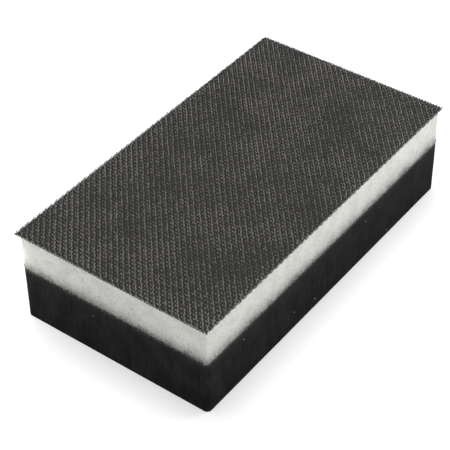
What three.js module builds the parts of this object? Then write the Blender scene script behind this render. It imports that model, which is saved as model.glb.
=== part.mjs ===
// Hand sanding block: a firm foam core, a soft foam layer and a sheet of hook fabric on top that
// grips loop-backed abrasive paper. Millimetres, +Z up, the long side along X, and the origin
// under the middle of the base.

import * as THREE from "three";

// Firm foam core
const CORE_LENGTH = 125;
const CORE_WIDTH = 69.5;
const CORE_HEIGHT = 19.8;
const CORE_CORNER_RADIUS = 1.6; // on the four upright edges

// Soft foam layer
const SOFT_HEIGHT = 11.95;
const SOFT_INSET = 0.35; // the cut face stands this far in from the core's
const SOFT_CORNER_RADIUS = 0.7;

// Adhesive films, one on each side of the soft foam
const FILM_THICKNESS = 0.1;
const FILM_MARGIN = 0.8; // the film stops this far short of the soft foam's edge

// Hook fabric
const SHEET_OVERHANG = 0.4; // past the core, on every side
const SHEET_CORNER_RADIUS = 0.4;
const COATING_THICKNESS = 0.15; // resin on the back that locks the threads
const CLOTH_THICKNESS = 0.3;
const THREAD_COUNT = 33;
const THREAD_WIDTH = 1.4; // across one thread's double row of hooks
const THREAD_MARGIN = 0.05; // from the outermost hooks to the sheet's long edge
const THREAD_END_MARGIN = 0.3; // from the last hook to the sheet's short edge
const HOOK_HEIGHT = 0.95;
const HOOK_CROWN_RADIUS = 0.35;

// Steps in a quarter circle
const CORNER_STEPS = 6;
const CROWN_STEPS = 3;

// Heights lie on a fine binary grid, which 32-bit numbers hold exactly, so that two layers that
// touch share one plane.
const GRID_STEPS_PER_MM = 1024;
const onGrid = (height) => Math.round(height * GRID_STEPS_PER_MM) / GRID_STEPS_PER_MM;

const finish = (color, roughness) =>
  new THREE.MeshStandardMaterial({ color, roughness, metalness: 0 });

const finishes = {
  firmFoam: finish(0x1f1d1e, 0.85),
  softFoam: finish(0xd6d7d1, 0.95),
  film: finish(0xcfc9b4, 0.35),
  coating: finish(0x2b2a2a, 0.6),
  cloth: finish(0x353432, 0.9),
  thread: finish(0x4a4845, 0.45),
};

/** The outline of a rectangle with round corners, centred on the origin. */
function roundedRectangle(length, width, radius) {
  const x = length / 2 - radius;
  const y = width / 2 - radius;
  const quarter = Math.PI / 2;
  const outline = new THREE.Shape();
  outline.absarc(x, y, radius, 0, quarter);
  outline.absarc(-x, y, radius, quarter, 2 * quarter);
  outline.absarc(-x, -y, radius, 2 * quarter, 3 * quarter);
  outline.absarc(x, -y, radius, 3 * quarter, 4 * quarter);
  outline.closePath();
  return outline;
}

/** A flat layer of the stack, whose edges stand `inset` inside the core's (outside if negative). */
function makeLayer({ name, inset, radius, thickness, material }) {
  const outline = roundedRectangle(CORE_LENGTH - 2 * inset, CORE_WIDTH - 2 * inset, radius);
  const geometry = new THREE.ExtrudeGeometry(outline, {
    depth: onGrid(thickness),
    bevelEnabled: false,
    curveSegments: CORNER_STEPS,
  });
  const layer = new THREE.Mesh(geometry, material);
  layer.name = name;
  return layer;
}

/** The room that one thread's hooks take: a low rail along X with rounded shoulders. */
function makeThreadGeometry(length) {
  const side = THREAD_WIDTH / 2;
  const shoulder = side - HOOK_CROWN_RADIUS;
  const top = onGrid(HOOK_HEIGHT);
  const spring = top - HOOK_CROWN_RADIUS;
  const section = new THREE.Shape();
  section.moveTo(-side, 0);
  section.lineTo(side, 0);
  section.lineTo(side, spring);
  section.absarc(shoulder, spring, HOOK_CROWN_RADIUS, 0, Math.PI / 2);
  section.absarc(-shoulder, spring, HOOK_CROWN_RADIUS, Math.PI / 2, Math.PI);
  section.closePath();

  const geometry = new THREE.ExtrudeGeometry(section, {
    depth: length,
    bevelEnabled: false,
    curveSegments: CROWN_STEPS,
  });
  geometry.translate(0, 0, -length / 2);
  // The section's plane becomes YZ, and the length runs along X.
  const alongX = new THREE.Matrix4().makeBasis(
    new THREE.Vector3(0, 1, 0),
    new THREE.Vector3(0, 0, 1),
    new THREE.Vector3(1, 0, 0),
  );
  return geometry.applyMatrix4(alongX);
}

/** All hook threads, side by side across the sheet, standing on the plane z = 0. */
function makeThreads(sheetLength, sheetWidth) {
  const threads = new THREE.Group();
  const geometry = makeThreadGeometry(sheetLength - 2 * THREAD_END_MARGIN);
  const span = sheetWidth - 2 * THREAD_MARGIN - THREAD_WIDTH;
  const pitch = span / (THREAD_COUNT - 1);
  for (let i = 0; i < THREAD_COUNT; i += 1) {
    const thread = new THREE.Mesh(geometry, finishes.thread);
    thread.name = `hook_thread_${String(i + 1).padStart(2, "0")}`;
    thread.position.y = i * pitch - span / 2;
    threads.add(thread);
  }
  return threads;
}

const filmInset = SOFT_INSET + FILM_MARGIN;
const layers = [
  {
    name: "firm_foam_core",
    inset: 0,
    radius: CORE_CORNER_RADIUS,
    thickness: CORE_HEIGHT,
    material: finishes.firmFoam,
  },
  {
    name: "core_adhesive_film",
    inset: filmInset,
    radius: SOFT_CORNER_RADIUS,
    thickness: FILM_THICKNESS,
    material: finishes.film,
  },
  {
    name: "soft_foam_layer",
    inset: SOFT_INSET,
    radius: SOFT_CORNER_RADIUS,
    thickness: SOFT_HEIGHT,
    material: finishes.softFoam,
  },
  {
    name: "sheet_adhesive_film",
    inset: filmInset,
    radius: SOFT_CORNER_RADIUS,
    thickness: FILM_THICKNESS,
    material: finishes.film,
  },
  {
    name: "hook_back_coating",
    inset: -SHEET_OVERHANG,
    radius: SHEET_CORNER_RADIUS,
    thickness: COATING_THICKNESS,
    material: finishes.coating,
  },
  {
    name: "hook_ground_cloth",
    inset: -SHEET_OVERHANG,
    radius: SHEET_CORNER_RADIUS,
    thickness: CLOTH_THICKNESS,
    material: finishes.cloth,
  },
];

const sandingBlock = new THREE.Group();
let height = 0;
for (const layer of layers) {
  const mesh = makeLayer(layer);
  mesh.position.z = height;
  height += onGrid(layer.thickness);
  sandingBlock.add(mesh);
}

const threads = makeThreads(CORE_LENGTH + 2 * SHEET_OVERHANG, CORE_WIDTH + 2 * SHEET_OVERHANG);
threads.position.z = height;
sandingBlock.add(threads);

export default sandingBlock;
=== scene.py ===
"""A hand sanding block: firm black foam, soft white foam and a sheet of hook fabric on top.

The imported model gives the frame. Every layer is built in the room that its CAD solid takes:
the two foams as cut blocks, the ground cloth as a plain weave, and each hook thread as a nylon
monofilament that steps between two rows of hooks and rises into a cut loop at each step. Lengths
are in metres.
"""

from __future__ import annotations

import logging
import math
import random
from dataclasses import dataclass, field
from enum import Enum

import bmesh
import bpy
from mathutils import Matrix, Vector, noise


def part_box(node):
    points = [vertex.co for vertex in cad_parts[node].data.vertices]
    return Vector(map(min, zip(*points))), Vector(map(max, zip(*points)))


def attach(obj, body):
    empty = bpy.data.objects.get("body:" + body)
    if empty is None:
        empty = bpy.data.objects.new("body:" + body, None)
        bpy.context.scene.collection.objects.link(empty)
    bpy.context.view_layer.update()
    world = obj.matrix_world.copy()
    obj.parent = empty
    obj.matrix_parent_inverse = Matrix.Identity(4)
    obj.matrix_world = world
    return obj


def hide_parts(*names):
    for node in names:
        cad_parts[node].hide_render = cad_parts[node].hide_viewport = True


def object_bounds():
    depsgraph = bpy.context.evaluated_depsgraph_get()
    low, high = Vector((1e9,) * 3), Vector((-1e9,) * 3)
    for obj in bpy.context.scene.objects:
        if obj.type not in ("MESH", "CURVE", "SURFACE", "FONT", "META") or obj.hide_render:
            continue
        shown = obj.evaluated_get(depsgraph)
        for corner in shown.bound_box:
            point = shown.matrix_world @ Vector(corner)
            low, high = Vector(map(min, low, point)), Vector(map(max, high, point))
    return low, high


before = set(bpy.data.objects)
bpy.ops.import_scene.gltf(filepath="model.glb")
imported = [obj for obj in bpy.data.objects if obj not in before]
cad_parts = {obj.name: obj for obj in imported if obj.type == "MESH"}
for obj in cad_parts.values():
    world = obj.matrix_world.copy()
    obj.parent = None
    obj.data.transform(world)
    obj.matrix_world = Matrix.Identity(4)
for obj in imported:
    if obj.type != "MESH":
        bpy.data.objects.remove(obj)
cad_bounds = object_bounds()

LOG = logging.getLogger("sanding_block")

MM = 0.001
BODY = "root"

PARALLEL = 0.999  # least cosine between an edge and the axis that it runs along
LEVEL = 0.5  # least upward or downward part of a level face's normal
CORNER_SEGMENTS = 6
RIM_SEGMENTS = 2
SEED_SHIFT = (1.0, 2.7, -1.3)  # the way that a seed moves a noise pattern

# The Mix node's sockets for colours, whose names its other types share
MIX_FACTOR, MIX_FIRST, MIX_SECOND, MIX_RESULT = 0, 6, 7, 2

Colour = tuple[float, float, float]
Range = tuple[float, float]
Socket = bpy.types.NodeSocket


class Axis(Enum):
    """A direction of the block, by its index in a vector."""

    X = 0
    Y = 1
    Z = 2


# --- Frame ---


@dataclass(frozen=True)
class Room:
    """The box that a CAD node takes, in metres.

    Attributes:
        low: its lowest corner.
        high: its highest corner.
    """

    low: Vector
    high: Vector

    @classmethod
    def of(cls, node: str) -> Room:
        """Reads a CAD node's room from the frame."""
        low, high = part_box(node)
        return cls(Vector(low), Vector(high))

    @property
    def size(self) -> Vector:
        """The box's three sides."""
        return self.high - self.low

    @property
    def centre(self) -> Vector:
        """The box's middle."""
        return (self.low + self.high) / 2


# --- Mesh helpers ---


def runs_along(edge: bmesh.types.BMEdge, axis: Axis) -> bool:
    """Says whether an edge is parallel to an axis."""
    span = edge.verts[1].co - edge.verts[0].co
    return abs(span[axis.value]) > PARALLEL * span.length


def divide_along(bm: bmesh.types.BMesh, axis: Axis, step: float) -> None:
    """Divides the long edges that run along an axis into equal lengths.

    Args:
        bm: the mesh to divide.
        axis: the direction of the edges.
        step: the length that the divided edges are near to.
    """
    edges = [e for e in bm.edges if runs_along(e, axis) and e.calc_length() > 2 * step]
    if not edges:
        return
    longest = max(e.calc_length() for e in edges)
    cuts = round(longest / step) - 1
    bmesh.ops.subdivide_edges(bm, edges=edges, cuts=cuts, use_grid_fill=True)


def cut_block(room: Room, corner: float, rim: float, step: float) -> bmesh.types.BMesh:
    """Makes a cut block of foam whose four sides are finely divided.

    Args:
        room: the block's box.
        corner: the radius of its upright edges.
        rim: the width of the eased edge round its top and base.
        step: the length of a division.

    Returns:
        The block's mesh.
    """
    bm = bmesh.new()
    bmesh.ops.create_cube(bm, size=1.0)
    bmesh.ops.scale(bm, vec=room.size, verts=bm.verts)
    bmesh.ops.translate(bm, vec=room.centre, verts=bm.verts)
    ease(bm, [e for e in bm.edges if runs_along(e, Axis.Z)], corner, CORNER_SEGMENTS)
    flat = [f for f in bm.faces if abs(f.normal.z) > LEVEL]
    ease(bm, list({e for f in flat for e in f.edges}), rim, RIM_SEGMENTS)
    for axis in Axis:
        divide_along(bm, axis, step)
    bm.normal_update()
    return bm


def lay_grid(room: Room, across: int, along: int) -> bmesh.types.BMesh:
    """Makes a level grid at a room's top.

    Args:
        room: the box.
        across: how many squares it has along X.
        along: how many it has along Y.

    Returns:
        The grid's mesh.
    """
    bm = bmesh.new()
    bmesh.ops.create_grid(bm, x_segments=across, y_segments=along, size=0.5)
    bmesh.ops.scale(bm, vec=room.size, verts=bm.verts)
    bmesh.ops.translate(bm, vec=(*room.centre.xy, room.high.z), verts=bm.verts)
    return bm


def ease(bm: bmesh.types.BMesh, edges: list, width: float, segments: int) -> None:
    """Rounds edges.

    Args:
        bm: the mesh that holds them.
        edges: the edges to round.
        width: how far the rounding reaches from the edge.
        segments: the steps of the rounding.
    """
    bmesh.ops.bevel(
        bm,
        geom=edges,
        offset=width,
        offset_type="OFFSET",
        segments=segments,
        profile=0.5,
        affect="EDGES",
        clamp_overlap=True,
        material=-1,
    )


def cap_open_ends(bm: bmesh.types.BMesh) -> None:
    """Closes every open loop of edges with one face, and points all faces outwards."""
    bmesh.ops.holes_fill(bm, edges=[e for e in bm.edges if e.is_boundary], sides=0)
    bmesh.ops.recalc_face_normals(bm, faces=bm.faces)


def extrude_ring(bm: bmesh.types.BMesh, ring: list, move: Vector) -> list:
    """Extrudes a ring of edges and moves the new ring.

    Args:
        bm: the mesh that holds the ring.
        ring: the ring's edges.
        move: how far the new ring lies from the old one.

    Returns:
        The new ring's edges.
    """
    made = bmesh.ops.extrude_edge_only(bm, edges=ring)["geom"]
    verts = [g for g in made if isinstance(g, bmesh.types.BMVert)]
    bmesh.ops.translate(bm, vec=move, verts=verts)
    fresh = set(verts)
    edges = [g for g in made if isinstance(g, bmesh.types.BMEdge)]
    return [e for e in edges if e.verts[0] in fresh and e.verts[1] in fresh]


def ring_verts(ring: list) -> list:
    """The vertices of a ring of edges, once each."""
    return list({v for e in ring for v in e.verts})


def keep_mould(bm: bmesh.types.BMesh) -> bpy.types.Mesh:
    """Turns a finished bmesh into a mesh to stamp copies from, and frees it."""
    mould = bpy.data.meshes.new("mould")
    bm.to_mesh(mould)
    bm.free()
    return mould


def stamp(bm: bmesh.types.BMesh, mould: bpy.types.Mesh, place: Matrix) -> None:
    """Adds a copy of a mould to a mesh.

    Args:
        bm: the mesh to add to.
        mould: what to copy.
        place: where the copy goes.
    """
    copy = mould.copy()
    copy.transform(place)
    bm.from_mesh(copy)
    bpy.data.meshes.remove(copy)


def start_ring(bm: bmesh.types.BMesh, sides: int, radius: float, place: Matrix) -> list:
    """Starts a thread or fibre with a ring of edges round a place.

    Args:
        bm: the mesh to add to.
        sides: the sides of the section.
        radius: the section's radius.
        place: the ring's place, with Z along the thread.

    Returns:
        The ring's edges.
    """
    made = bmesh.ops.create_circle(bm, segments=sides, radius=radius, matrix=place)
    return list({e for v in made["verts"] for e in v.link_edges})


@dataclass(frozen=True)
class Wave:
    """Smooth noise in space, from about -1 to 1.

    Attributes:
        size: the size of its features.
        share: what it is multiplied by.
        seed: a shift that gives an unlike pattern.
    """

    size: float
    share: float = 1.0
    seed: float = 0.0

    def at(self, point: Vector) -> float:
        """Its value at a point."""
        shift = Vector([self.seed * part for part in SEED_SHIFT])
        return self.share * noise.noise(point / self.size + shift)


def ripple(point: Vector, waves: tuple[Wave, ...]) -> float:
    """The sum of several waves at a point."""
    return sum(wave.at(point) for wave in waves)


def finish_piece(
    bm: bmesh.types.BMesh,
    name: str,
    material: bpy.types.Material,
    sharp_from: float = math.radians(50),
) -> bpy.types.Object:
    """Turns a finished bmesh into a piece that rides on the block.

    Args:
        bm: the mesh, which is freed.
        name: the piece's name.
        material: its material.
        sharp_from: the angle past which an edge between two faces shows as sharp.

    Returns:
        The piece's object.
    """
    mesh = bpy.data.meshes.new(name)
    bm.to_mesh(mesh)
    bm.free()
    mesh.shade_smooth()
    mesh.set_sharp_from_angle(angle=sharp_from)
    mesh.materials.append(material)
    piece = bpy.data.objects.new(name, mesh)
    bpy.context.scene.collection.objects.link(piece)
    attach(piece, BODY)
    LOG.info("%s: %d faces", name, len(mesh.polygons))
    return piece


# --- Finishes ---
#
# In a finish, a range that ends in _from gives the value at which a pattern starts and the one at
# which it is full. A length that ends in _fade is how far from the seam between the foams a
# pattern has thinned to a third. A _squeeze is a mark's width as a share of its length.


class Surface:
    """A material under construction, with its patterns in the block's own coordinates."""

    def __init__(self, name: str) -> None:
        """Starts a material with a Principled shader.

        Args:
            name: the material's name.
        """
        self.material = bpy.data.materials.new(name)
        self.material.use_nodes = True
        self.tree = self.material.node_tree
        self.tree.nodes.clear()
        self.shader = self.tree.nodes.new("ShaderNodeBsdfPrincipled")
        output = self.tree.nodes.new("ShaderNodeOutputMaterial")
        self.tree.links.new(self.shader.outputs["BSDF"], output.inputs["Surface"])
        self.place = self.tree.nodes.new("ShaderNodeTexCoord").outputs["Object"]

    def node(self, kind: str, outlet: str, **wires: object) -> Socket:
        """Adds a node.

        Args:
            kind: its type.
            outlet: the output to return.
            wires: values or sockets for its inputs, by name with _ for a space.

        Returns:
            The output socket.
        """
        made = self.tree.nodes.new(kind)
        for key, value in wires.items():
            self.feed(made.inputs[key.replace("_", " ")], value)
        return made.outputs[outlet]

    def feed(self, inlet: Socket, value: object) -> None:
        """Links a socket to an inlet, or sets the inlet to a plain value."""
        if isinstance(value, bpy.types.NodeSocket):
            self.tree.links.new(value, inlet)
        else:
            inlet.default_value = value

    def clouds(self, size: float, detail: float = 2.0, place: Socket | None = None) -> Socket:
        """Noise around 0.5 whose features have the given size."""
        return self.node(
            "ShaderNodeTexNoise",
            "Fac",
            Vector=place or self.place,
            Scale=1 / size,
            Detail=detail,
        )

    def cells(self, size: float) -> Socket:
        """The distance to the nearest cell's middle, for cells of the given size."""
        return self.node("ShaderNodeTexVoronoi", "Distance", Vector=self.place, Scale=1 / size)

    def upright_clouds(self, width: float, squeeze: float) -> Socket:
        """Ragged noise around 0.5, whose features are as wide as given and taller."""
        return self.clouds(width, detail=3, place=self.stretched(1, 1, squeeze))

    def stretched(self, x: float, y: float, z: float) -> Socket:
        """The block's coordinates, multiplied along each axis."""
        return self.node("ShaderNodeMapping", "Vector", Vector=self.place, Scale=(x, y, z))

    def maths(self, operation: str, a: object, b: object = 0.0) -> Socket:
        """One step of arithmetic on two sockets or numbers."""
        made = self.tree.nodes.new("ShaderNodeMath")
        made.operation = operation
        self.feed(made.inputs[0], a)
        self.feed(made.inputs[1], b)
        return made.outputs[0]

    def weighted(self, values: tuple[Socket, ...], shares: tuple[float, ...]) -> Socket:
        """The sum of several values, each multiplied by its share."""
        first, *rest = (self.maths("MULTIPLY", v, k) for v, k in zip(values, shares))
        total = first
        for part in rest:
            total = self.maths("ADD", total, part)
        return total

    def between(self, value: Socket, start: float, end: float) -> Socket:
        """Turns a value's range from start to end smoothly into 0 to 1."""
        made = self.tree.nodes.new("ShaderNodeMapRange")
        made.interpolation_type = "SMOOTHSTEP"
        self.feed(made.inputs["Value"], value)
        made.inputs["From Min"].default_value = start
        made.inputs["From Max"].default_value = end
        return made.outputs["Result"]

    def span(self, value: Socket, low: float, high: float) -> Socket:
        """Turns a value from 0 to 1 into one from low to high."""
        made = self.tree.nodes.new("ShaderNodeMapRange")
        self.feed(made.inputs["Value"], value)
        made.inputs["To Min"].default_value = low
        made.inputs["To Max"].default_value = high
        return made.outputs["Result"]

    def blend(self, factor: Socket, first: object, second: object) -> Socket:
        """Mixes two colours, each a socket or a Colour."""
        made = self.tree.nodes.new("ShaderNodeMix")
        made.data_type = "RGBA"
        self.feed(made.inputs[MIX_FACTOR], factor)
        for inlet, colour in ((MIX_FIRST, first), (MIX_SECOND, second)):
            plain = isinstance(colour, tuple)
            self.feed(made.inputs[inlet], (*colour, 1.0) if plain else colour)
        return made.outputs[MIX_RESULT]

    def relief(self, height: Socket, depth: float, strength: float) -> None:
        """Adds a bump on top of the ones that the shader already has.

        Args:
            height: the pattern, from 0 to 1.
            depth: how deep it is.
            strength: how much of it shows.
        """
        made = self.tree.nodes.new("ShaderNodeBump")
        made.inputs["Strength"].default_value = strength
        made.inputs["Distance"].default_value = depth
        self.feed(made.inputs["Height"], height)
        inlet = self.shader.inputs["Normal"]
        if inlet.is_linked:
            self.feed(made.inputs["Normal"], inlet.links[0].from_socket)
        self.tree.links.new(made.outputs["Normal"], inlet)

    def fading(self, distance: Socket, reach: float) -> Socket:
        """Falls from 1 at no distance, to about a third at each further reach."""
        return self.maths("EXPONENT", self.maths("MULTIPLY", distance, -1 / reach))

    def height_above(self, level: float) -> Socket:
        """How far a point lies above a level."""
        split = self.node("ShaderNodeSeparateXYZ", "Z", Vector=self.place)
        return self.maths("SUBTRACT", split, level)

    def set(self, **values: object) -> None:
        """Feeds the shader's own inputs, by name with _ for a space."""
        for key, value in values.items():
            self.feed(self.shader.inputs[key.replace("_", " ")], value)


@dataclass(frozen=True)
class FirmFoamFinish:
    """Black closed-cell foam, cut with a blade: matt, finely pitted, with white dust and lint.

    Attributes:
        seam: the height of the seam with the soft foam.
        wear_shares: how much saw marks, patches and the seam's scuffs add to the wear.
    """

    seam: float
    black: Colour = (0.0062, 0.0057, 0.0059)
    worn: Colour = (0.0185, 0.0166, 0.0173)
    lint: Colour = (0.40, 0.40, 0.38)
    cell: float = 0.45 * MM
    patch: float = 7 * MM
    saw_mark: float = 0.8 * MM
    mark_squeeze: float = 0.12
    fray: float = 0.6 * MM
    fray_squeeze: float = 0.5
    lint_fade: float = 0.45 * MM
    scuff_fade: float = 4 * MM
    dust_spacing: float = 6.5 * MM
    wear_shares: tuple[float, ...] = (0.4, 0.6, 0.2)
    worn_from: Range = (0.36, 0.72)
    pit_from: Range = (0.3, 0.05)
    speck_from: Range = (0.045, 0.02)
    tuft_from: Range = (0.3, 0.72)
    rough: Range = (0.7, 0.95)

    def material(self) -> bpy.types.Material:
        """Makes the material."""
        s = Surface("firm_foam")
        pits = s.cells(self.cell)
        patches = s.clouds(self.patch, detail=5)
        marks = s.upright_clouds(self.saw_mark, self.mark_squeeze)
        below = s.maths("MULTIPLY", s.height_above(self.seam), -1.0)
        scuffs = s.fading(below, self.scuff_fade)
        wear = s.weighted((marks, patches, scuffs), self.wear_shares)
        colour = s.blend(s.between(wear, *self.worn_from), self.black, self.worn)
        colour = s.blend(s.between(pits, *self.pit_from), colour, self.black)
        specks = s.between(s.cells(self.dust_spacing), *self.speck_from)
        frays = s.upright_clouds(self.fray, self.fray_squeeze)
        tufts = s.between(frays, *self.tuft_from)
        fluff = s.maths("MULTIPLY", s.fading(below, self.lint_fade), tufts)
        colour = s.blend(s.maths("MAXIMUM", specks, fluff), colour, self.lint)
        s.set(
            Base_Color=colour,
            Roughness=s.span(patches, *self.rough),
            Specular_IOR_Level=0.05,
        )
        s.relief(marks, 0.04 * MM, 0.4)
        s.relief(pits, 0.07 * MM, 0.7)
        return s.material


@dataclass(frozen=True)
class SoftFoamFinish:
    """White open-cell foam that light passes into, with black dust and glue along its foot and
    painted shade that darkens it towards the foot.

    Attributes:
        foot: the height of the seam with the firm foam.
        cell, pore: the sizes of the small and the large open cells.
        grain, patch: the sizes of the fine and the broad mottle.
        scallop, fray: the widths of the waves and the tufts in the upper edge of the dark band at
            the foot.
        grime_and_shade_share: how much glue, dust and painted shade lie on the seam, and the most
            anywhere.
    """

    foot: float
    white: Colour = (0.64, 0.645, 0.609)
    shade: Colour = (0.40, 0.404, 0.373)
    # Near-black of the glue and dust at the foot, also laid on as painted shade that darkens the
    # foam towards the foot.
    grime_and_shade: Colour = (0.02, 0.0185, 0.018)
    cell: float = 0.7 * MM
    pore: float = 1.5 * MM
    grain: float = 0.8 * MM
    patch: float = 5 * MM
    scallop: float = 4.0 * MM
    scallop_height: float = 2.4 * MM
    fray: float = 0.6 * MM
    fray_height: float = 2.6 * MM
    fray_squeeze: float = 0.5
    # How far up the dark band at the foot fades, and how dark it gets: glue and dust, and painted
    # shade.
    grime_and_shade_fade: float = 2.0 * MM
    grime_and_shade_share: Range = (0.7, 0.95)
    light_depth: float = 0.6 * MM
    mottle_share: float = 0.35
    patch_from: Range = (0.35, 0.75)
    pore_from: Range = (0.3, 0.05)
    grain_from: Range = (0.5, 0.85)

    def material(self) -> bpy.types.Material:
        """Makes the material."""
        s = Surface("soft_foam")
        cells = s.cells(self.cell)
        pores = s.cells(self.pore)
        patches = s.between(s.clouds(self.patch, detail=5), *self.patch_from)
        grain = s.between(s.clouds(self.grain, detail=1), *self.grain_from)
        mottle = s.maths("ADD", patches, s.between(pores, *self.pore_from))
        colour = s.blend(s.maths("MULTIPLY", mottle, self.mottle_share), self.white, self.shade)
        colour = s.blend(grain, colour, self.shade)
        s.set(
            # Glue and black dust at the seam, with painted shade that darkens the foam towards its
            # foot.
            Base_Color=s.blend(self.grime_and_shade_cover(s), colour, self.grime_and_shade),
            Roughness=0.95,
            Specular_IOR_Level=0.15,
            Subsurface_Weight=1.0,
            Subsurface_Radius=(1.0, 0.98, 0.9),
            Subsurface_Scale=self.light_depth,
        )
        s.relief(pores, 0.14 * MM, 0.5)
        s.relief(cells, 0.14 * MM, 0.9)
        return s.material

    def grime_and_shade_cover(self, s: Surface) -> Socket:
        """How much glue and black dust, and painted shade towards the foot, cover a point, from 0
        to 1.
        """
        scallops = s.maths("SUBTRACT", s.clouds(self.scallop, detail=2), 0.5)
        frays = s.upright_clouds(self.fray, self.fray_squeeze)
        tufts = s.maths("SUBTRACT", frays, 0.5)
        lift = s.weighted((scallops, tufts), (self.scallop_height, self.fray_height))
        above = s.maths("SUBTRACT", s.height_above(self.foot), lift)
        on_seam, most = self.grime_and_shade_share
        # Darkest at the seam and fading upwards: real glue and dust there, and painted shade where
        # the black core would darken the foam.
        share = s.maths("MULTIPLY", s.fading(above, self.grime_and_shade_fade), on_seam)
        return s.maths("MINIMUM", share, most)


@dataclass(frozen=True)
class NylonFinish:
    """Dark grey nylon monofilament with a soft shine, and each hook a shade of its own."""

    dark: Colour = (0.055, 0.053, 0.05)
    pale: Colour = (0.30, 0.286, 0.268)
    hook: float = 1.1 * MM
    patch: float = 14 * MM
    patch_share: float = 0.5
    pale_from: Range = (0.55, 1.0)
    grain: float = 0.05 * MM

    def material(self) -> bpy.types.Material:
        """Makes the material."""
        s = Surface("hook_nylon")
        single = s.clouds(self.hook, detail=1)
        broad = s.clouds(self.patch)
        shade = s.weighted((single, broad), (1.0, self.patch_share))
        s.set(
            Base_Color=s.blend(s.between(shade, *self.pale_from), self.dark, self.pale),
            Roughness=s.span(single, 0.3, 0.5),
            IOR=1.53,
        )
        s.relief(s.clouds(self.grain), 0.006 * MM, 0.3)
        return s.material


@dataclass(frozen=True)
class GroundClothFinish:
    """Black polyester cloth, whose yarns show their filaments.

    Attributes:
        yarn: the distance between two yarns.
        filaments: how many filaments lie side by side in a yarn.
    """

    yarn: float
    black: Colour = (0.015, 0.0145, 0.0139)
    grey: Colour = (0.046, 0.0445, 0.0427)
    filaments: int = 7
    filament_squeeze: float = 0.15
    contrast: Range = (0.6, 1.4)
    grey_from: Range = (0.25, 0.75)

    def material(self) -> bpy.types.Material:
        """Makes the material."""
        s = Surface("ground_cloth")
        yarns = s.clouds(self.yarn, detail=1)
        along = s.stretched(self.filament_squeeze, 1, 1)
        filaments = s.clouds(self.yarn / self.filaments, place=along)
        mottle = s.maths("MULTIPLY", yarns, s.span(filaments, *self.contrast))
        s.set(
            Base_Color=s.blend(s.between(mottle, *self.grey_from), self.black, self.grey),
            Roughness=s.span(filaments, 0.7, 0.95),
            Specular_IOR_Level=0.15,
        )
        s.relief(filaments, 0.03 * MM, 0.6)
        return s.material


@dataclass(frozen=True)
class FibreFinish:
    """Frayed polyester filaments, greyer than the cloth they came out of."""

    dark: Colour = (0.09, 0.088, 0.083)
    pale: Colour = (0.68, 0.665, 0.63)
    fibre: float = 0.6 * MM
    pale_from: Range = (0.3, 0.7)
    grain: float = 0.03 * MM

    def material(self) -> bpy.types.Material:
        """Makes the material."""
        s = Surface("frayed_fibre")
        single = s.clouds(self.fibre, detail=1)
        s.set(
            Base_Color=s.blend(s.between(single, *self.pale_from), self.dark, self.pale),
            Roughness=s.span(single, 0.4, 0.6),
        )
        s.relief(s.clouds(self.grain), 0.004 * MM, 0.3)
        return s.material


@dataclass(frozen=True)
class CoatingFinish:
    """Grey resin on the cloth's back, smooth with small runs."""

    thin: Colour = (0.22, 0.218, 0.205)
    thick: Colour = (0.11, 0.108, 0.102)
    run: float = 1.8 * MM
    grain: float = 0.12 * MM

    def material(self) -> bpy.types.Material:
        """Makes the material."""
        s = Surface("back_coating")
        runs = s.clouds(self.run, detail=3)
        s.set(
            Base_Color=s.blend(runs, self.thin, self.thick),
            Roughness=s.span(runs, 0.4, 0.65),
        )
        s.relief(runs, 0.06 * MM, 0.5)
        s.relief(s.clouds(self.grain), 0.015 * MM, 0.4)
        return s.material


@dataclass(frozen=True)
class AdhesiveFinish:
    """Hot-melt adhesive film: cloudy, a little yellow, with small bubbles."""

    clear: Colour = (0.62, 0.58, 0.44)
    cloudy: Colour = (0.74, 0.72, 0.62)
    cloud: float = 3 * MM
    bubble: float = 0.8 * MM

    def material(self) -> bpy.types.Material:
        """Makes the material."""
        s = Surface("adhesive")
        clouds = s.clouds(self.cloud, detail=4)
        bubbles = s.cells(self.bubble)
        s.set(
            Base_Color=s.blend(clouds, self.clear, self.cloudy),
            Roughness=s.span(bubbles, 0.25, 0.5),
            Subsurface_Weight=0.3,
            Subsurface_Scale=0.3 * MM,
        )
        s.relief(bubbles, 0.02 * MM, 0.5)
        return s.material


@dataclass(frozen=True)
class FloorFinish:
    """A plain matt white floor that glows a little, as a light table does."""

    white: Colour = (0.9, 0.9, 0.9)
    glow: float = 0.3

    def material(self) -> bpy.types.Material:
        """Makes the material."""
        s = Surface("studio_floor")
        s.set(
            Base_Color=(*self.white, 1.0),
            Roughness=0.9,
            Specular_IOR_Level=0.1,
            Emission_Color=(*self.white, 1.0),
            Emission_Strength=self.glow,
        )
        return s.material


# --- Foams ---


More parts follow.
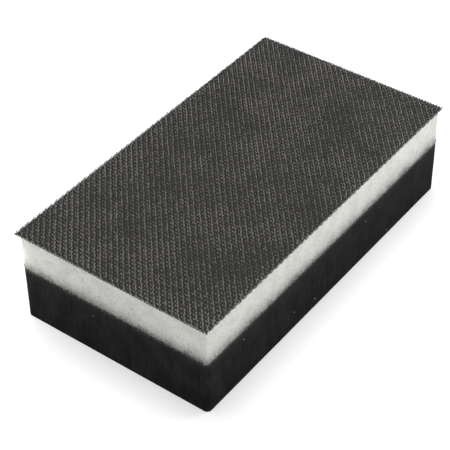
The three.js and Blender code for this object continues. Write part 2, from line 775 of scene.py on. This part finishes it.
@dataclass
class FirmCore:
    """The firm foam that gives the block its shape and stands on its base.

    Attributes:
        corner: the radius of the upright edges.
        rim: the width of the eased edges.
        step: the length of a division of the sides.
        side_tilt: the largest upward part of the normal at a point of the sides.
        sway: how far the blade wandered.
        splay: how far the end cut at low X leans out at the base.
        pinholes: how many open cells show on the sides.
        pinhole_depth: how deep they are, from the least to the most.
    """

    node: str = "firm_foam_core"
    corner: float = 1.6 * MM
    rim: float = 0.12 * MM
    step: float = 0.55 * MM
    side_tilt: float = 0.3
    sway: float = 0.07 * MM
    sway_waves: tuple[Wave, ...] = (Wave(13 * MM), Wave(1.4 * MM, share=0.3))
    splay: float = 0.3 * MM
    pinholes: int = 70
    pinhole_depth: Range = (0.088 * MM, 0.22 * MM)
    seed: int = 11

    def build(self) -> bpy.types.Object:
        """Builds the block with its cut sides."""
        room = Room.of(self.node)
        bm = cut_block(room, self.corner, self.rim, self.step)
        sides = [v for v in bm.verts if abs(v.normal.z) < self.side_tilt]
        for v in sides:
            outwards = Vector((v.normal.x, v.normal.y, 0))
            v.co += self.sway * ripple(v.co, self.sway_waves) * outwards
        for v in bm.verts:
            share = (room.high.x - v.co.x) * (room.high.z - v.co.z) / (room.size.x * room.size.z)
            v.co.x -= self.splay * share
        draw = random.Random(self.seed)
        for v in draw.sample(sides, self.pinholes):
            v.co -= draw.uniform(*self.pinhole_depth) * v.normal
        finish = FirmFoamFinish(seam=room.high.z)
        piece = finish_piece(bm, "firm_foam_block", finish.material())
        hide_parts(self.node)
        return piece


@dataclass
class SoftLayer:
    """The soft foam between the core and the hook sheet.

    Attributes:
        corner: the radius of the upright edges.
        rim: the width of the eased edges.
        step: the length of a division of the sides.
        least_outward: the least level part of the normal at a point of the sides.
        hollow: how far the cut sides draw in at half height.
        cell_relief: how rough the open cells leave the cut.
        flare: how far the foot spreads over the core's edge.
        flare_height: how high above the foot that has fallen to a third.
        fringe: how far the foot's tufts hang over the core's side.
        fringe_height: how high above the foot the fringe has fallen to a third.
        tuft_level: what is added to the tufts' waves; where the sum is below 0, none hangs.
    """

    node: str = "soft_foam_layer"
    corner: float = 0.7 * MM
    rim: float = 0.1 * MM
    step: float = 0.48 * MM
    least_outward: float = 0.3
    hollow: float = 0.12 * MM
    cell_relief: float = 0.09 * MM
    cell_waves: tuple[Wave, ...] = (Wave(0.8 * MM), Wave(2.5 * MM, share=0.6))
    flare: float = 0.38 * MM
    flare_height: float = 0.8 * MM
    fringe: float = 0.9 * MM
    tuft_waves: tuple[Wave, ...] = (Wave(2.4 * MM, seed=3.0), Wave(0.9 * MM, share=0.7, seed=5.0))
    tuft_level: float = 0.2
    fringe_height: float = 0.3 * MM

    def build(self, foot: float, head: float) -> bpy.types.Object:
        """Builds the layer, with its rims drawn onto the pieces below and above.

        Args:
            foot: the height of the core's top.
            head: the height of the hook sheet's underside.

        Returns:
            The piece.
        """
        room = Room.of(self.node)
        bm = cut_block(room, self.corner, self.rim, self.step)
        for v in bm.verts:
            self.shape_point(v, room)
        for v in bm.verts:
            share = (v.co.z - room.low.z) / room.size.z
            v.co.z += (1 - share) * (foot - room.low.z) + share * (head - room.high.z)
        finish = SoftFoamFinish(foot=foot)
        piece = finish_piece(bm, "soft_foam_block", finish.material())
        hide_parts(self.node)
        return piece

    def shape_point(self, vert: bmesh.types.BMVert, room: Room) -> None:
        """Moves one point of the sides to where the cut and the cells left it."""
        outwards = Vector((vert.normal.x, vert.normal.y, 0))
        if outwards.length < self.least_outward:
            return
        outwards.normalize()
        rise = vert.co.z - room.low.z
        waist = self.hollow * math.sin(math.pi * min(max(rise / room.size.z, 0.0), 1.0))
        cells = self.cell_relief * ripple(vert.co, self.cell_waves)
        tufts = self.tuft_level + ripple(Vector((vert.co.x, vert.co.y, 0)), self.tuft_waves)
        foot = math.exp(-rise / self.flare_height)
        vert.co += (cells * (1 - foot) - waist + self.flare * foot) * outwards
        vert.co.z -= self.fringe * max(0.0, tufts) * math.exp(-rise / self.fringe_height)


# --- Hook sheet ---


@dataclass(frozen=True)
class CutEdge:
    """The outline that the blade left on the hook sheet.

    Attributes:
        start: a place where a tooth stands on either side.
        pitch_x: the distance between the outermost row's hooks, along X.
        pitch_y: the distance between hook rows, along Y.
        low_draw: how far the cloth drew back from the blade on its low X and low Y side.
        high_draw: the same on its high X and high Y side, where it crept outwards.
        low_tooth: how far the cloth bulges out at each hook on its low X and low Y side.
        high_tooth: the same on its high X and high Y side.
        jitter: how unevenly the yarns are cut.
        near: how close to the room's edge a point of the outline lies.
    """

    start: Vector
    pitch_x: float
    pitch_y: float
    low_draw: tuple[float, float] = (0.14 * MM, 0.3 * MM)
    high_draw: tuple[float, float] = (-0.4 * MM, -0.3 * MM)
    low_tooth: tuple[float, float] = (0.16 * MM, 0.16 * MM)
    high_tooth: tuple[float, float] = (0.45 * MM, 0.16 * MM)
    jitter: float = 0.13 * MM
    jitter_waves: tuple[Wave, ...] = (Wave(0.7 * MM),)
    near: float = 0.05 * MM

    def shift(self, point: Vector, room: Room) -> Vector:
        """How far the blade's cut lies outside a point on the room's edge."""
        out = Vector((0, 0, 0))
        wave_x = math.cos(2 * math.pi * (point.x - self.start.x) / self.pitch_x)
        wave_y = math.cos(2 * math.pi * (point.y - self.start.y) / self.pitch_y)
        rough = self.jitter * ripple(point, self.jitter_waves)
        for sign, limit, draw, tooth in (
            (-1, room.low, self.low_draw, self.low_tooth),
            (1, room.high, self.high_draw, self.high_tooth),
        ):
            if abs(point.x - limit.x) < self.near:
                out.x += sign * (tooth[0] * wave_y + rough - draw[0])
            if abs(point.y - limit.y) < self.near:
                out.y += sign * (tooth[1] * wave_x + rough - draw[1])
        return out


@dataclass
class GroundCloth:
    """The woven cloth that the hooks stand in.

    Attributes:
        edge: its cut outline.
        warp_pitch: the distance between yarns that run along X.
        weft_pitch: the distance between yarns that run along Y.
        relief: how far a yarn stands above its neighbour.
    """

    edge: CutEdge
    node: str = "hook_ground_cloth"
    warp_pitch: float = 0.36 * MM
    weft_pitch: float = 0.32 * MM
    relief: float = 0.07 * MM

    def build(self) -> bpy.types.Object:
        """Weaves the cloth: a fine grid whose points go over and under in turn."""
        room = Room.of(self.node)
        across = round(room.size.x / self.weft_pitch)
        along = round(room.size.y / self.warp_pitch)
        bm = lay_grid(room, across, along)
        for v in bm.verts:
            i = round((v.co.x - room.low.x) / room.size.x * across)
            j = round((v.co.y - room.low.y) / room.size.y * along)
            v.co.z -= self.relief * ((i + j) % 2)
        for v in {v for e in bm.edges if e.is_boundary for v in e.verts}:
            v.co += self.edge.shift(v.co, room)
        rim = extrude_ring(bm, [e for e in bm.edges if e.is_boundary], Vector((0, 0, 0)))
        for v in ring_verts(rim):
            v.co.z = room.low.z
        cap_open_ends(bm)
        finish = GroundClothFinish(yarn=self.warp_pitch)
        piece = finish_piece(bm, "ground_cloth", finish.material())
        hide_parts(self.node)
        return piece


@dataclass
class BackCoating:
    """The resin on the cloth's back.

    Attributes:
        edge: the cloth's cut outline, which it follows.
        step: the length of a division of the outline.
    """

    edge: CutEdge
    node: str = "hook_back_coating"
    step: float = 0.4 * MM

    def build(self) -> bpy.types.Object:
        """Builds the thin layer of resin."""
        room = Room.of(self.node)
        bm = lay_grid(room, 1, 1)
        for axis in (Axis.X, Axis.Y):
            outline = [e for e in bm.edges if e.is_boundary and runs_along(e, axis)]
            cuts = round(outline[0].calc_length() / self.step) - 1
            bmesh.ops.subdivide_edges(bm, edges=outline, cuts=cuts)
        for v in bm.verts:
            v.co += self.edge.shift(v.co, room)
        outline = [e for e in bm.edges if e.is_boundary]
        extrude_ring(bm, outline, Vector((0, 0, -room.size.z)))
        cap_open_ends(bm)
        piece = finish_piece(bm, "back_coating", CoatingFinish().material())
        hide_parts(self.node)
        return piece


@dataclass
class EdgeFibres:
    """The yarn ends that the blade left standing out along the sheet's four edges.

    Attributes:
        edge: the sheet's cut outline.
        spacing: the mean distance between two fibres.
        longest: how far the longest reach.
        shortest: how far the shortest reach, as a share of that.
        bend: how far a fibre bends to its sides, as a share of its length.
        rise: how steeply fibres stand up, from the least to the most.
        root_depth: how far inside the cut they start.
        root_height: how far above the cloth the highest start.
        radius: a fibre's radius.
        sides: the sides of a fibre's section.
        joints: the straight stretches of a fibre.
        variants: how many unlike fibres are made.
    """

    edge: CutEdge
    node: str = "hook_ground_cloth"
    spacing: float = 0.1 * MM
    longest: float = 0.6 * MM
    shortest: float = 0.4
    bend: Range = (0.7, 0.5)
    rise: Range = (0.1, 1.6)
    root_depth: float = 0.12 * MM
    root_height: float = 0.2 * MM
    radius: float = 0.04 * MM
    sides: int = 3
    joints: int = 3
    variants: int = 24
    seed: int = 23

    def build(self) -> bpy.types.Object:
        """Builds all fibres as one piece."""
        room = Room.of(self.node)
        draw = random.Random(self.seed)
        fibres = [self.fibre_mesh(draw) for _ in range(self.variants)]
        bm = bmesh.new()
        for axis, length in ((Axis.X, room.size.x), (Axis.Y, room.size.y)):
            for _ in range(round(2 * length / self.spacing)):
                stamp(bm, draw.choice(fibres), self.root_place(room, axis, draw))
        for fibre in fibres:
            bpy.data.meshes.remove(fibre)
        return finish_piece(bm, "cut_edge_fibres", FibreFinish().material())

    def fibre_mesh(self, draw: random.Random) -> bpy.types.Mesh:
        """Builds one bent fibre, which starts at the origin and heads along +Z."""
        bm = bmesh.new()
        drift = Vector([draw.uniform(-most, most) for most in self.bend] + [0])
        ring = start_ring(bm, self.sides, self.radius, Matrix.Identity(4))
        step = draw.uniform(self.shortest, 1.0) * self.longest / self.joints
        for k in range(self.joints):
            heading = (Vector((0, 0, 1)) + (k / self.joints) * drift).normalized()
            ring = extrude_ring(bm, ring, step * heading)
        cap_open_ends(bm)
        return keep_mould(bm)

    def root_place(self, room: Room, axis: Axis, draw: random.Random) -> Matrix:
        """Picks a fibre's place on one of the two edges that run along an axis."""
        other = Axis.Y if axis is Axis.X else Axis.X
        sign = draw.choice((-1, 1))
        root = Vector((0, 0, draw.uniform(room.low.z, room.high.z + self.root_height)))
        root[axis.value] = draw.uniform(room.low[axis.value], room.high[axis.value])
        limit = room.high if sign > 0 else room.low
        drawn = self.edge.high_draw if sign > 0 else self.edge.low_draw
        depth = drawn[other.value] + self.root_depth
        root[other.value] = limit[other.value] - sign * depth
        outwards = Vector((0, 0, draw.uniform(*self.rise)))
        outwards[other.value] = sign
        return Matrix.Translation(root) @ outwards.to_track_quat("Z", "Y").to_matrix().to_4x4()


@dataclass(frozen=True)
class HookShape:
    """A loop of a hook thread, cut open: one leg with the crown, and one cut short.

    It is made with its first leg at the origin.

    Attributes:
        reach: the way from the first leg to the second.
        height: the height of the loop's crown above the cloth.
        lean: how far the loop leans over, as an angle.
        fall: the direction it leans towards, as an angle from +X towards +Y.
        spreads: how unlike the loops' twists, falls and leans are, as angles.
        radius: the monofilament's radius.
        depth: how far a leg starts below the cloth's surface.
        sides: the sides of the monofilament's section.
        curl: the radius of the crown.
        curl_turn: how far it turns, in degrees.
        stem, stub: the heights of the whole and the short leg, as shares of the loop's length.
        sway: how far the whole leg is off upright at its top.
        tip: the size of its cut tip, as a share of the section.
        stub_slant: how far the stub's cut end lies off its foot, along the loop and across.
        float_share: the length of the thread that leads on, as a share of the reach.
        float_from, float_dip: how deep that starts, and how far it sinks from there.
    """

    reach: Vector
    height: float
    lean: float = math.radians(40)
    fall: float = math.radians(70)
    spreads: tuple[float, float, float] = (0.14, 0.1, 0.06)
    radius: float = 0.13 * MM
    depth: float = 0.104 * MM
    sides: int = 6
    curl: float = 0.25 * MM
    curl_turn: Range = (145, 180)
    curl_steps: int = 5
    stem: Range = (0.93, 1.0)
    sway: float = 0.06 * MM
    tip: float = 0.8
    stub: Range = (0.35, 0.45)
    stub_slant: tuple[Range, Range] = ((-0.12 * MM, 0.0), (-0.04 * MM, 0.04 * MM))
    float_share: float = 0.7
    float_from: float = 0.039 * MM
    float_dip: float = 0.156 * MM

    @property
    def length(self) -> float:
        """The loop's height before it leans over."""
        return self.height / math.cos(self.lean)

    def loop_mesh(self, draw: random.Random) -> bpy.types.Mesh:
        """Builds one cut loop with its own small faults, and the thread that leads on from it."""
        bm = bmesh.new()
        self.add_hook(bm, draw)
        self.add_stub(bm, draw)
        twist_spread, fall_spread, lean_spread = self.spreads
        twist = math.atan2(self.reach.y, self.reach.x) + draw.gauss(0, twist_spread)
        fall = self.fall + draw.gauss(0, fall_spread)
        hinge = Vector((-math.sin(fall), math.cos(fall), 0))
        leant = Matrix.Rotation(draw.gauss(self.lean, lean_spread), 4, hinge)
        bm.transform(leant @ Matrix.Rotation(twist, 4, "Z"))
        self.add_float(bm)
        cap_open_ends(bm)
        return keep_mould(bm)

    def add_hook(self, bm: bmesh.types.BMesh, draw: random.Random) -> None:
        """Adds the leg that carries the crown, which opens towards +X."""
        stem = self.length * draw.uniform(*self.stem) - self.curl - self.radius
        sway = draw.uniform(-self.sway, self.sway)
        ring = start_ring(bm, self.sides, self.radius, Matrix.Translation((0, 0, -self.depth)))
        ring = extrude_ring(bm, ring, Vector((sway, 0, stem + self.depth)))
        turned = bmesh.ops.spin(
            bm,
            geom=ring_verts(ring) + ring,
            cent=(sway + self.curl, 0, stem),
            axis=(0, 1, 0),
            angle=math.radians(draw.uniform(*self.curl_turn)),
            steps=self.curl_steps,
            use_duplicate=False,
        )["geom_last"]
        tip = [g for g in turned if isinstance(g, bmesh.types.BMVert)]
        middle = sum((v.co for v in tip), Vector()) / len(tip)
        bmesh.ops.scale(bm, vec=[self.tip] * 3, verts=tip, space=Matrix.Translation(-middle))

    def add_stub(self, bm: bmesh.types.BMesh, draw: random.Random) -> None:
        """Adds the leg that was cut short, towards +X."""
        half = self.length * draw.uniform(*self.stub) / 2
        foot = Matrix.Translation((self.reach.length, 0, -self.depth))
        ring = start_ring(bm, self.sides, self.radius, foot)
        ring = extrude_ring(bm, ring, Vector((0, 0, half + self.depth)))
        slant = [draw.uniform(*limits) for limits in self.stub_slant]
        extrude_ring(bm, ring, Vector((*slant, half)))

    def add_float(self, bm: bmesh.types.BMesh) -> None:
        """Adds the stretch of thread that leads on from the second leg and dips into the cloth."""
        way = self.float_share * self.reach - Vector((0, 0, self.float_dip))
        facing = way.to_track_quat("Z", "Y").to_matrix().to_4x4()
        start = self.reach - Vector((0, 0, self.float_from))
        ring = start_ring(bm, self.sides, self.radius, Matrix.Translation(start) @ facing)
        extrude_ring(bm, ring, way)


@dataclass
class HookThreads:
    """All hook threads of the sheet, each a piece of its own.

    A thread steps from one row of hooks to the other and back, and raises a loop at each step.
    All loops open the same way, aslant to the thread.

    Attributes:
        cloth: the ground cloth's box.
        rows: the CAD nodes of the threads, from the lowest Y to the highest.
        step: the distance between two loops along a thread.
        opening: the distance between a loop's two legs.
        heading: the direction the loops open, as an angle from +X towards +Y.
        skew: how far the sheet was cut off its grain, as an angle.
        variants: how many unlike loops are made.
        edge_margin: how far inside the sheet's outline the outermost legs stand.
        fall_margin: the same on the side that the loops lean towards.
        pulled_in: how far past that a leg may fall and still be moved back to it.
        stray: how far a leg usually stands off its place.
    """

    cloth: Room
    rows: list[str]
    step: float = 1.2715 * MM
    opening: float = 1.0 * MM
    heading: float = math.radians(-20)
    skew: float = math.radians(0.3)
    variants: int = 32
    edge_margin: float = 0.3 * MM
    fall_margin: float = 0.6 * MM
    pulled_in: float = 0.7 * MM
    stray: float = 0.03 * MM
    sharp_from: float = math.radians(80)
    seed: int = 5

    @property
    def row_gap(self) -> float:
        """The distance between two rows of hooks, of which a thread has two."""
        first, second = (Room.of(node).centre.y for node in self.rows[:2])
        return (second - first) / 2

    @property
    def reach(self) -> Vector:
        """The way from a loop's first leg to its second."""
        return self.opening * Vector((math.cos(self.heading), math.sin(self.heading), 0))

    @property
    def start(self) -> Vector:
        """The place of the first loop on the first thread."""
        return self.places(Room.of(self.rows[0]))[0]

    def build(self) -> None:
        """Builds every thread and hides its CAD solid."""
        draw = random.Random(self.seed)
        shape = HookShape(self.reach, height=Room.of(self.rows[0]).size.z)
        loops = [shape.loop_mesh(draw) for _ in range(self.variants)]
        material = NylonFinish().material()
        turn = Matrix.Rotation(self.skew, 4, "Z")
        for number, node in enumerate(self.rows, start=1):
            bm = bmesh.new()
            for place in self.places(Room.of(node)):
                foot = self.settle(turn @ place)
                if (foot - turn @ place).length < self.pulled_in:
                    stray = Vector((draw.gauss(0, self.stray), draw.gauss(0, self.stray), 0))
                    stamp(bm, draw.choice(loops), Matrix.Translation(foot + stray) @ turn)
            name = f"nylon_hooks_{number:02d}"
            piece = finish_piece(bm, name, material, self.sharp_from)
            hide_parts(node)
        for loop in loops:
            bpy.data.meshes.remove(loop)

    def settle(self, foot: Vector) -> Vector:
        """The nearest place to a loop's first foot that keeps both feet well on the cloth."""
        settled = foot.copy()
        for axis, margin in ((Axis.X, self.edge_margin), (Axis.Y, self.fall_margin)):
            i, ahead = axis.value, self.reach[axis.value]
            low = self.cloth.low[i] + self.edge_margin - min(ahead, 0)
            high = self.cloth.high[i] - margin - max(ahead, 0)
            settled[i] = min(max(foot[i], low), high)
        return settled

    def places(self, room: Room) -> list[Vector]:
        """The places of a thread's loops before the skew, for the CAD thread's box."""
        count = round(room.size.x / self.step) + 1
        first = room.centre.x - (count - 1) * self.step / 2
        start = Vector((first, room.centre.y, room.low.z)) - self.reach / 2
        half = self.row_gap / 2
        return [start + Vector((i * self.step, -half if i % 2 else half, 0)) for i in range(count)]


@dataclass
class HookSheet:
    """The hook fabric: coating, ground cloth, cut fibres and hook threads."""

    node: str = "hook_ground_cloth"
    thread_prefix: str = "hook_thread_"

    def build(self) -> None:
        """Builds the sheet from its back to its hooks."""
        room = Room.of(self.node)
        rows = sorted(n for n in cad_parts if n.startswith(self.thread_prefix))
        threads = HookThreads(cloth=room, rows=rows)
        edge = CutEdge(threads.start, pitch_x=2 * threads.step, pitch_y=threads.row_gap)
        coating = BackCoating(edge).build()
        cloth = GroundCloth(edge).build()
        fibres = EdgeFibres(edge).build()
        threads.build()


@dataclass
class AdhesiveFilms:
    """The two films that join the layers, which keep their CAD shape."""

    nodes: tuple[str, ...] = ("core_adhesive_film", "sheet_adhesive_film")

    def dress(self) -> None:
        """Gives both films their finish."""
        material = AdhesiveFinish().material()
        for name in self.nodes:
            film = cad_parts[name]
            film.data.materials.clear()
            film.data.materials.append(material)
            LOG.info("%s: dressed", name)


# --- Studio ---


@dataclass(frozen=True)
class Softbox:
    """A square area light that points at the block.

    Attributes:
        name: its name.
        azimuth: its direction round the block, in degrees from +X towards +Y.
        elevation: its height above the floor, in degrees.
        distance: how far it is from the block.
        side: the length of its side.
        power: its power in watts.
    """

    name: str
    azimuth: float
    elevation: float
    distance: float
    side: float
    power: float

    def build(self, target: Vector) -> None:
        """Sets the light up, facing a target."""
        data = bpy.data.lights.new(self.name, "AREA")
        data.size = self.side
        data.energy = self.power
        light = bpy.data.objects.new(self.name, data)
        bpy.context.scene.collection.objects.link(light)
        a, e = math.radians(self.azimuth), math.radians(self.elevation)
        towards = Vector((math.cos(a) * math.cos(e), math.sin(a) * math.cos(e), math.sin(e)))
        light.location = target + self.distance * towards
        light.rotation_euler = (-towards).to_track_quat("-Z", "Y").to_euler()


@dataclass(frozen=True)
class StudioCamera:
    """A long lens that looks down on the block's near corner.

    Attributes:
        heading: the view's direction on the floor, in degrees from +Y towards +X.
        tilt: how far it looks down, in degrees.
        roll: how far its right side drops, in degrees.
        distance: how far it is from what it looks at.
        aim: what it looks at, from the middle of the block's base.
        lens: its focal length in millimetres on a 36 mm sensor.
    """

    heading: float = 52.62
    tilt: float = 41.10
    roll: float = 1.09
    distance: float = 0.4708
    aim: Vector = field(default_factory=lambda: Vector((0.8, 6.6, 5.4)) * MM)
    lens: float = 116.9

    def build(self, base: Vector) -> None:
        """Sets the camera up.

        Args:
            base: the middle of the block's base.
        """
        data = bpy.data.cameras.new("studio_camera")
        data.lens = self.lens
        data.sensor_width = 36.0
        data.clip_start = 0.01
        data.clip_end = 20.0
        camera = bpy.data.objects.new("studio_camera", data)
        bpy.context.scene.collection.objects.link(camera)
        turn = (
            Matrix.Rotation(-math.radians(self.heading), 4, "Z")
            @ Matrix.Rotation(math.radians(90 - self.tilt), 4, "X")
            @ Matrix.Rotation(-math.radians(self.roll), 4, "Z")
        )
        back = turn @ Vector((0, 0, self.distance))
        camera.matrix_world = Matrix.Translation(base + self.aim + back) @ turn
        bpy.context.scene.camera = camera


@dataclass
class Studio:
    """The floor, the light and the camera.

    Attributes:
        floor_side: the length of the floor's side.
        sky: the strength of the even light from all round.
        lamps: the softboxes.
    """

    floor_side: float = 6.0
    sky: float = 0.27
    lamps: tuple[Softbox, ...] = (
        Softbox("top_softbox", azimuth=60, elevation=76, distance=1.2, side=0.9, power=10),
        Softbox("front_softbox", azimuth=-142, elevation=42, distance=1.1, side=0.9, power=3.75),
        Softbox("right_softbox", azimuth=-44, elevation=24, distance=0.36, side=0.22, power=0.42),
        Softbox(
            "left_softbox", azimuth=149, elevation=15, distance=0.0845, side=0.006, power=0.0016
        ),
    )

    def build(self) -> None:
        """Sets the studio up round the block."""
        low, high = (Vector(corner) for corner in cad_bounds)
        base = Vector(((low.x + high.x) / 2, (low.y + high.y) / 2, low.z))
        self.lay_floor(low.z)
        self.light_sky()
        for lamp in self.lamps:
            lamp.build(base)
        StudioCamera().build(base)
        bpy.context.scene.view_settings.view_transform = "Standard"

    def lay_floor(self, level: float) -> None:
        """Lays the floor at the block's base."""
        bm = bmesh.new()
        bmesh.ops.create_grid(bm, x_segments=1, y_segments=1, size=self.floor_side / 2)
        bmesh.ops.translate(bm, vec=(0, 0, level), verts=bm.verts)
        mesh = bpy.data.meshes.new("studio_floor")
        bm.to_mesh(mesh)
        bm.free()
        mesh.materials.append(FloorFinish().material())
        floor = bpy.data.objects.new("studio_floor", mesh)
        bpy.context.scene.collection.objects.link(floor)

    def light_sky(self) -> None:
        """Lights the studio evenly from all round."""
        world = bpy.data.worlds.new("studio")
        world.use_nodes = True
        background = world.node_tree.nodes["Background"]
        background.inputs["Color"].default_value = (1.0, 1.0, 1.0, 1.0)
        background.inputs["Strength"].default_value = self.sky
        bpy.context.scene.world = world


def main() -> None:
    """Builds the block from its base to its hooks, and the studio round it."""
    logging.basicConfig(level=logging.INFO, format="%(name)s: %(message)s")
    FirmCore().build()
    foot = Room.of("firm_foam_core").high.z
    head = Room.of("hook_back_coating").low.z
    SoftLayer().build(foot, head)
    AdhesiveFilms().dress()
    HookSheet().build()
    Studio().build()


if __name__ == "__main__":
    main()
